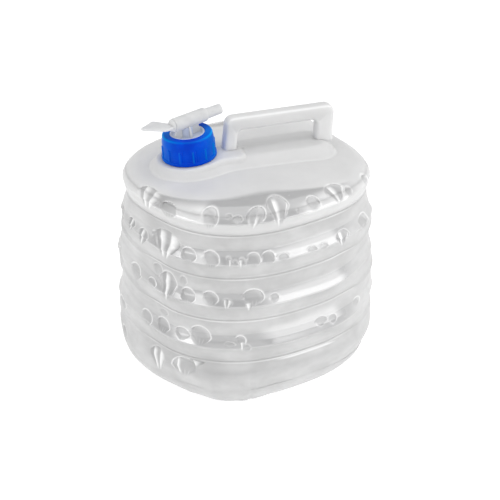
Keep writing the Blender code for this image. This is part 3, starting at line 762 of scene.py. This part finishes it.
def top_points(angle, inset, z, push):
    """The moulded top: its skin with the platform, the plateau and the neck's well raised on it."""
    points = wrap_points(angle, inset, z, push)
    x, y, low = points.T
    corner = bell(x, CORNER_AT[0], CORNER_REACH[0]) * bell(y, CORNER_AT[1], CORNER_REACH[1])
    low = low + CORNER_LIFT * corner * step(z, 236.0, 249.0)
    deck = bulge(deck_distance(x, y, *PLATFORM), -11.0, DECK_FOOT, 1.6)
    raised = bulge(deck_distance(x, y, *PLATEAU), -2.0, 2.2, 1.5)
    top = PLATFORM_TOP + 0.25 * (1 - (y / 31.0) ** 2)
    top = top + 1.6 * bell(y, -4.0, 8.0) * step(x, -6, 14) * (1 - step(x, 62, 82))
    boss_top = PLATFORM_TOP - 0.3 + (x - NECK_X) * math.tan(NECK_LEAN)
    near_neck = 1 - step(np.hypot(x - NECK_X, y), 34, 44)
    plateau = boss_top * near_neck + (top + 2.0) * (1 - near_neck)
    height = low + (top - low) * deck
    height = height + (plateau - height) * raised * step(deck, 0.0, 0.5)
    well = 1 - step(np.hypot(x - NECK_X, y), WELL_RADIUS, WELL_RADIUS + 2.0)
    return np.stack([x, y, height - WELL_DEPTH * well], axis=1)


def make_top():
    """The shoulder up to where it rolls over, and the deck with all that is raised on it."""
    rise = np.linspace(0, SHOULDER_HEIGHT, 500)
    line = np.stack([through(SHOULDER_KNOTS, rise), CREASES[-1] + rise], axis=1)
    split = 330  # the point of the line from which the shoulder belongs to the deck
    lower = spaced(line[:split], SHOULDER_GAP, lambda m: 1 + 1.2 * bell(m[:, 1], CREASES[-1], 3))
    turned_back = [(lower[-1, 0] + 6, lower[-1, 1] - 7), (14.0, 226.0), (10.0, 219.0)]
    dents = DENTS["shoulder"] + back_dents(15, 226, 246, 15.0, 138.0)

    def skin(name, outline, outside):
        def fields(angle, row):
            inset, z = along(outline, row)
            shallow = softened(angle, np.minimum(inset, CREASE_INSET))
            inset = inset - shallow * (1 - step(z, 220, 226))
            radius = plan_radius(angle, inset + draw_in(z))
            seen = z + 0.45 * np.maximum(inset - 3.7, 0) * step(z, 234, 240)
            push, hollow, white = dent_fields(dents, angle, seen, radius)
            edge = step(z, 216, 219) * (row < outside - 0.5)
            return inset, z, push * edge, hollow * edge, white * edge

        def place(angle, row):
            return top_points(angle, *fields(angle, row)[:3])

        def marks(angle, row):
            inset, z, _, hollow, white = fields(angle, row)
            clear = faced(angle)
            rim = 250.9 - 14.0 * (1 - np.abs(np.cos(angle - math.radians(-100))))
            gloss = step(z, 230.7, 231.4) * (1 - step(z, rim - 1.1, rim)) * clear
            # Painted highlight patches on the shoulder, and a painted highlight line along the lip
            # of its clear band
            cloud_and_sheen = np.maximum(sheen(SHEENS[15], angle, z, (0,)), 0.3 * bell(z, 232.0, 0.5) * clear)
            x, y, _ = wrap_points(angle, inset, z).T
            # A painted highlight line along the foot of the platform's outline
            outline_highlight = 0.28 * bell(deck_distance(x, y, *PLATFORM), DECK_FOOT - 0.3, 1.0)
            white = np.maximum(white, outline_highlight)
            white = np.maximum(white, cloud_and_sheen * (1 - np.minimum(hollow * 1.3, 1)))
            return {"gloss": gloss * (1 - 0.75 * hollow), "hollow": hollow, "white": white}

        piece = bent_grid(name, len(outline), COLUMNS, place, SHELL, "top", marks, fine=True)
        return piece

    skin("shoulder_band", np.vstack([lower, turned_back, lower[:1]]), len(lower))
    upper = spaced(line[split - 1:], DECK_GAP)
    insets = np.linspace(SHOULDER_INSET, HALF_WIDTH - TOP_DRAW_IN - NEARLY, DOME_ROWS)
    dome = np.stack([insets, dome_height(insets)], axis=1)
    deck = skin("moulded_deck", np.vstack([upper, dome[1:]]), 10**6)
    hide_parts("top_shell")


# ------------------------ foot
def make_foot():
    """The foot's bowl with its ring and raised middle, and the inner side of its wall."""
    knots = ((0.0, 47.0), (0.9, 40.4), (3.84, 31.0), (9.1, 21.6), (16.3, 13.2), (24.0, 7.05),
             (FOOT_RIM, 4.6))
    heights = np.linspace(0, 1, 60) ** 2 * FOOT_RIM
    wall = np.stack([through(knots, heights), heights], axis=1)
    insets = np.linspace(HALF_WIDTH - NEARLY, 70, 24)
    floor = np.stack([insets, 0 * insets + 3.0], axis=1)
    ring = [(68.0, 3.0), (66.0, 2.4), (63.6, 0.5), (62.0, 0.0), (49.0, 0.0)]
    inner = [(9.0, 29.0), (30.0, 8.0), (60.0, 6.5), (HALF_WIDTH - NEARLY, 6.5)]
    outline = np.vstack([floor, ring, wall[1:], inner])
    last_flat = len(floor) + len(ring) - 1

    def place(angle, row):
        inset, z = along(outline, row)
        return wrap_points(angle, inset, z, base_folds(angle, z) * (row > last_flat))

    piece = bent_grid("foot_bowl", len(outline), COLUMNS // 2, place, FILM, "base")
    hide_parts("foot_pan")


# ------------------------ turned parts on the neck's axis
# Frames: the neck's, the tap's in it, the paddle's at the height of the barrel, and the barrel's
NECK_FRAME = Matrix.Translation((NECK_X * MM, 0, PLATFORM_TOP * MM))
NECK_FRAME = NECK_FRAME @ Matrix.Rotation(-NECK_LEAN, 4, "Y")
TAP_FRAME = NECK_FRAME @ Matrix.Rotation(TAP_TURN, 4, "Z")
BLADE_FRAME = TAP_FRAME @ Matrix.Translation((0, 0, AXIS_HEIGHT * MM))
BARREL_FRAME = BLADE_FRAME @ Matrix.Rotation(math.pi / 2, 4, "Y")


def corner_arc(x, y, radius, start, end, steps):
    """Points along an arc round (x, y), from one angle in degrees to another."""
    angles = np.radians(np.linspace(start, end, steps + 1))
    return [(x + radius * math.cos(a), y + radius * math.sin(a)) for a in angles]


def turned(name, outline, matrix, columns, material, body, change, marks=None):
    """A closed outline of (radius, height), anticlockwise, turned round the frame's Z."""
    outline = [*outline, outline[0]]
    turn, shift = np.array(matrix.to_3x3()), np.array(matrix.translation) / MM

    def place(angle, row):
        radius, height = along(outline, row)
        radius = radius + change(angle, radius, height, row)
        points = np.stack([radius * np.cos(angle), radius * np.sin(angle), height], axis=1)
        return points @ turn.T + shift

    return bent_grid(name, len(outline), columns, place, material, body, marks)


def make_cap():
    """The cap: a lip, a ribbed skirt, a rounded edge and an open ring on top."""
    foot, lip, top, inner, opening = 28.8, 30.5, 28.0, 26.4, 19.5
    outline = [(inner + 0.6, 0.3), (lip - 0.4, 0.3), *corner_arc(lip - 0.5, 0.8, 0.5, -60, 0, 3)]
    outline += [(lip, 2.4), *corner_arc(lip - 0.6, 3.0, 0.6, 0, 70, 3), (foot + 0.7, 3.75),
                (foot + 0.15, 4.1)]
    outline += [(foot, z) for z in np.linspace(4.6, 20.0, 24)]
    outline += [(foot - 0.8 * (z - 20) / 6, z) for z in np.linspace(21, 26.0, 6)]
    outline += corner_arc(top - 2.8, 29.0 - 2.8, 2.8, 4, 90, 9)
    outline += [(23.5, 29.0), (21.5, 29.0), *corner_arc(opening + 0.7, 28.3, 0.7, 90, 180, 4)]
    outline += [(opening, 26.9), (opening + 0.3, 26.5), (inner - 1.2, 26.5), (inner - 0.8, 26.0),
                (inner, 4.0)]
    first_round = next(i for i, (radius, height) in enumerate(outline) if height > 26.01)
    ribs, turn, proud = 12, math.radians(25), 1.15

    def beside_rib(angle):
        return (angle - turn + math.pi / ribs) % (2 * math.pi / ribs) - math.pi / ribs

    def change(angle, radius, height, row):
        side = 1 - step(np.abs(beside_rib(angle)) * radius, 1.25, 1.75)
        up = step(height, 3.0, 4.2) * (1 - step(height, 16.6, 17.7))
        outside = (radius > 27.6) & (row < first_round + 3)
        return proud * side * up * outside

    def marks(angle, row):
        # Painted highlights: lighter blue towards the sides, on the rounded top edge and on one
        # flank of each rib
        side = np.abs(np.sin(angle - math.radians(-108)))
        flank = bell(beside_rib(angle) * foot, -1.5, 0.7)
        flank = flank * step(row, 10, 12) * (1 - step(row, 30, 33))
        rim = bell(row, first_round + 4, 2.6) * (0.25 + 0.75 * side**2)
        return {"white": rim + 0.45 * side**3 + 0.55 * flank}

    cap = turned("ribbed_screw_cap", outline, NECK_FRAME, 12 * 36, BLUE, "cap", change, marks)
    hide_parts("screw_cap")


THREAD_PROUD = 1.25


def make_neck():
    """The neck with its collar and thread, down into the well."""
    radius, bore, top, depth = 25.2, 22.8, 21.6, -16.0
    outline = [(bore, depth), (radius - 0.1, depth), (radius - 0.1, -0.2), (26.2, 0.0), (26.4, 0.3),
               (26.4, 2.1), (26.1, 2.4), (radius, 2.5)]
    outline += [(radius, z) for z in np.linspace(2.9, top - 0.8, 70)]
    outline += [*corner_arc(radius - 0.7, top - 0.7, 0.7, 10, 90, 4), (bore + 0.5, top),
                (bore, top - 0.5)]
    pitch, start = 6.0, 4.4
    first_wall, last_wall = 7.5, 76

    def change(angle, _, height, row):
        turns = (height - start) / pitch - (angle / (2 * math.pi)) % 1.0
        ridge = bell(turns % 1.0, 0.5, 0.14)
        ends = step(turns, -0.25, 0.1) * (1 - step(turns, 1.75, 2.1))
        outside = (row > first_wall) & (row < last_wall)
        return THREAD_PROUD * ridge * ends * outside

    neck = turned("threaded_neck", outline, NECK_FRAME, 288, SHELL, "top", change)
    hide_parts("neck")


# ------------------------ plates
def plate(shape, outline, matrix, thickness, upright=False):
    """A flat outline in the frame, given its thickness on both sides and added to the bmesh."""
    half = thickness / 2
    put = (lambda x, y: (x, -half, y)) if upright else (lambda x, y: (x, y, -half))
    verts = [shape.verts.new(matrix @ (Vector(put(x, y)) * MM)) for x, y in outline]
    face = shape.faces.new(verts)
    grown = bmesh.ops.extrude_face_region(shape, geom=[face])
    lift = Vector((0, thickness, 0) if upright else (0, 0, thickness)) * MM
    moved = [item for item in grown["geom"] if isinstance(item, bmesh.types.BMVert)]
    bmesh.ops.translate(shape, verts=moved, vec=matrix.to_3x3() @ lift)


def round_edges(shape, width, segments):
    """Bevels on all edges sharper than 50 degrees."""
    edges = [edge for edge in shape.edges
             if len(edge.link_faces) == 2 and edge.calc_face_angle() > math.radians(50)]
    bmesh.ops.bevel(shape, geom=edges, offset=width * MM, segments=segments, profile=0.5,
                    affect="EDGES", material=-1, clamp_overlap=True)


def make_handle():
    """The handle's flat frame with rounded edges, and its posts' flared feet."""
    left, right, top, foot, corner = -24.0, 102.0, 303.0, 260.0, 9.5
    splay, bar, left_post, right_post, grip = 4.0, 16.0, 12.5, 21.5, 6.0
    lean = splay * corner / (top - foot)
    grip_left, grip_right, grip_top = left + left_post, right - right_post, top - bar
    outline = [(left - splay, foot), (grip_left - splay / 2, foot)]
    outline += corner_arc(grip_left + grip, grip_top - grip, grip, 180, 90, 8)
    outline += corner_arc(grip_right - grip, grip_top - grip, grip, 90, 0, 8)
    outline += [(grip_right - splay / 4, foot), (right - splay * 3 / 4, foot)]
    outline += corner_arc(right - corner - lean, top - corner, corner, 0, 90, 10)
    outline += corner_arc(left + corner - lean, top - corner, corner, 90, 180, 10)
    shape = bmesh.new()
    plate(shape, outline, Matrix.Identity(4), 15.2, upright=True)
    bmesh.ops.recalc_face_normals(shape, faces=shape.faces)
    round_edges(shape, 3.8, 5)
    top_edge_highlight, white_feet, flare_height = 0.40, 0.28, 7.0
    for height in (263.4, 264.4, 265.6, 267.2, 269.5, 272.5):
        bmesh.ops.bisect_plane(shape, geom=shape.verts[:] + shape.edges[:] + shape.faces[:],
                               plane_co=(0, 0, height * MM), plane_no=(0, 0, 1))
    # A painted highlight along the top front edge, and the posts under the bar painted lighter
    edge_line = shape.verts.layers.float.new("white")
    for vert in shape.verts:
        x, y, z = (value / MM for value in vert.co)
        on_edge = z > top - 3.0 and -7.4 < y < -5.0
        vert[edge_line] = top_edge_highlight if on_edge else white_feet * (z < 286.0)
        rise = (z - foot) / flare_height
        if rise > 1:
            continue
        flare = 3.2 * (1 - math.sqrt(max(1 - (1 - max(rise, 0)) ** 2, 0)))
        middle = -20.0 if x < 30 else 87.0
        side = math.copysign(1, x - middle)
        vert.co.x += side * flare * MM
        vert.co.y += math.copysign(min(abs(y) / 6.0, 1.0), y) * flare * 0.8 * MM
    piece = finished("carrying_handle", shape, SHELL, "top", math.radians(40))
    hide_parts("carry_handle")


# ------------------------ tap
def add_turned(shape, outline, matrix, columns):
    """A closed outline of (radius, height), spun round the frame's Z and added to a bmesh."""
    verts = [shape.verts.new(matrix @ (Vector((radius, 0, z)) * MM)) for radius, z in outline]
    edges = [shape.edges.new(pair) for pair in zip(verts, verts[1:] + verts[:1])]
    axis = matrix.to_3x3() @ Vector((0, 0, 1))
    bmesh.ops.spin(shape, geom=verts + edges, cent=matrix.translation, axis=axis, angle=2 * math.pi,
                   steps=columns, use_merge=True, use_duplicate=False)
    bmesh.ops.remove_doubles(shape, verts=shape.verts, dist=1e-6)


def make_tap():
    """The tap's barrel with its spout, its dish with stem and flange, and the webs between them."""
    barrel = [(5.1, 45.1), (5.5, 44.9), (5.7, 44.4), (5.9, 32.0), (6.1, 24.9), (6.5, 24.75),
              *corner_arc(6.9, 23.7, 0.9, 75, 0, 4), (7.8, 0.0), (7.8, -14.9),
              *corner_arc(6.8, -15.5, 1.0, 0, -80, 4), (6.3, -16.5), (6.0, -16.4), (6.0, 13.5),
              (4.4, 13.7), (4.4, 44.7), (4.7, 45.1)]
    dish = [(4.2, 22.5), (19.0, 22.5), (19.2, 23.9), (25.0, 24.5), (25.0, 26.1), (19.2, 26.2),
            (19.2, 28.3), (18.9, 28.6), (17.9, 28.6), (17.6, 28.3), (17.6, 25.4), (17.0, 24.6),
            (8.0, 24.4), (7.0, 24.8), (6.6, 25.8), (6.6, 36.0), (4.2, 36.0)]
    shape = bmesh.new()
    add_turned(shape, barrel, BARREL_FRAME, 64)
    piece_dish = bmesh.new()
    add_turned(piece_dish, dish, TAP_FRAME, 96)
    # Marks the dish for its painted blue reflection of the cap
    tint = piece_dish.verts.layers.float.new("tint")
    for vert in piece_dish.verts:
        vert[tint] = 1.0
    body = finished("tap_barrel", shape, MILKY, "tap", math.radians(35), outwards=True)
    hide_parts("tap_body")
    foot = finished("tap_foot_dish", piece_dish, MILKY, "tap", math.radians(35), outwards=True)
    webs = bmesh.new()
    web = [(-17.2, 23.8), (17.2, 23.8), (17.2, 28.4), (15.3, 30.0), (15.3, 37.5), (-15.3, 37.5),
           (-15.3, 30.0), (-17.2, 28.4)]
    plate(webs, web, TAP_FRAME, 1.8, upright=True)
    gusset = [(-9.5, 23.8), (9.5, 23.8), (9.5, 29.0), (6.6, 37.5), (-6.6, 37.5), (-9.5, 29.0)]
    plate(webs, gusset, TAP_FRAME @ Matrix.Rotation(math.pi / 2, 4, "Z"), 1.8, upright=True)
    bmesh.ops.recalc_face_normals(webs, faces=webs.faces)
    round_edges(webs, 0.4, 2)
    ribs = finished("tap_webs", webs, MILKY, "tap", math.radians(40))


def make_plug():
    """The turning plug with its groove and head, and its skewed paddle."""
    tube = [(4.4, 13.0), (5.7, 12.9), (5.7, -12.9), (4.2, -13.0), (4.2, -15.1), (5.7, -15.2),
            (5.7, -16.8), (7.0, -16.9), (7.3, -17.2), (7.2, -17.9), (6.6, -18.9), (5.7, -19.6),
            (4.4, -20.1), (0.0, -20.2), (0.0, -7.0), (4.4, -7.0)]
    shape = bmesh.new()
    add_turned(shape, tube, BARREL_FRAME, 64)
    plug = finished("turning_plug", shape, MILKY, "plug", math.radians(35), outwards=True)
    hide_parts("tap_plug")
    blade = bmesh.new()
    outline = [(-17.2, -5.4), (-26.0, -7.2), (-30.5, -5.6), (-33.6, -2.6), (-46.9, 13.6),
               (-48.1, 15.6), (-47.5, 17.2), (-31.0, 23.2), (-28.6, 23.3), (-26.6, 21.2),
               (-19.6, 8.0), (-17.2, 5.4)]
    plate(blade, outline, BLADE_FRAME, 2.6)
    bmesh.ops.recalc_face_normals(blade, faces=blade.faces)
    round_edges(blade, 0.75, 3)
    paddle = finished("paddle_blade", blade, MILKY, "plug", math.radians(40))


# ------------------------ stage, light and camera
MIDDLE, LAMP_AWAY = (0.0, 0.0, 0.15), 1.9


def white_floor():
    shape = bmesh.new()
    bmesh.ops.create_grid(shape, x_segments=24, y_segments=24, size=9.0)
    mesh = bpy.data.meshes.new("studio_floor")
    shape.to_mesh(mesh)
    shape.free()
    paper = Finish("studio_paper", Specular_IOR_Level=0.1, Emission_Color=(1, 1, 1, 1),
                   Emission_Strength=0.78)
    fibre = paper.noise(3.0, 4.0)
    tone = paper.colours(fibre, (0.40, 0.40, 0.40), (0.42, 0.42, 0.42))
    mesh.materials.append(paper.done(Base_Color=tone, Roughness=0.9 + fibre * 0.05))
    floor = added("studio_floor", mesh)


def look(thing, place, aim):
    """Puts a lamp or camera in its place and turns it to what it looks at."""
    thing.location = place
    thing.rotation_mode = "QUATERNION"
    thing.rotation_quaternion = (Vector(aim) - place).to_track_quat("-Z", "Y")


def softbox(name, place, size, power):
    """A square-cornered lamp that looks at the middle of the object."""
    lamp = bpy.data.lights.new(name, "AREA")
    lamp.shape = "RECTANGLE"
    lamp.size, lamp.size_y = size
    lamp.energy = power
    look(added(name, lamp), place, MIDDLE)


def seen_from(azimuth, elevation, distance, aim):
    """The place at a distance from aim, with the azimuth counted as the camera's is."""
    a, e = math.radians(azimuth), math.radians(elevation)
    back = Vector((math.sin(a) * math.cos(e), -math.cos(a) * math.cos(e), math.sin(e)))
    return Vector(aim) + back * distance


def light_studio():
    world = bpy.data.worlds.new("studio")
    world.use_nodes = True
    background = world.node_tree.nodes["Background"]
    background.inputs["Color"].default_value = (1.0, 1.0, 1.0, 1.0)
    background.inputs["Strength"].default_value = 0.60
    bpy.context.scene.world = world
    softbox("softbox_right", seen_from(52, 6, LAMP_AWAY, MIDDLE), (2.0, 0.42), 6.5)
    softbox("softbox_left", seen_from(-80, 6, LAMP_AWAY, MIDDLE), (0.9, 0.42), 4)
    overhead = bpy.data.lights.new("overhead", "SUN")
    overhead.energy, overhead.angle = 1.35, math.radians(80)
    added("overhead", overhead).rotation_euler = (math.radians(14), math.radians(6), 0)
    bpy.context.scene.view_settings.view_transform = "Standard"
    bpy.context.scene.view_settings.look = "None"


def set_camera():
    lens = bpy.data.cameras.new("camera")
    lens.lens, lens.sensor_width = 231.4, 36.0
    lens.shift_x = 0.0014
    lens.clip_start, lens.clip_end = 0.1, 60.0
    camera, aim = added("camera", lens), (0.0032, -0.0010, 0.1368)
    look(camera, seen_from(-19.2, 26.0, 3.6, aim), aim)
    bpy.context.scene.camera = camera


make_film()
make_top()
make_foot()
make_neck()
make_handle()
make_cap()
make_tap()
make_plug()
for node in ("cap_seal", "plug_o_ring"):
    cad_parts[node].data.materials.clear()
    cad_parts[node].data.materials.append(RUBBER)
white_floor()
light_studio()
set_camera()
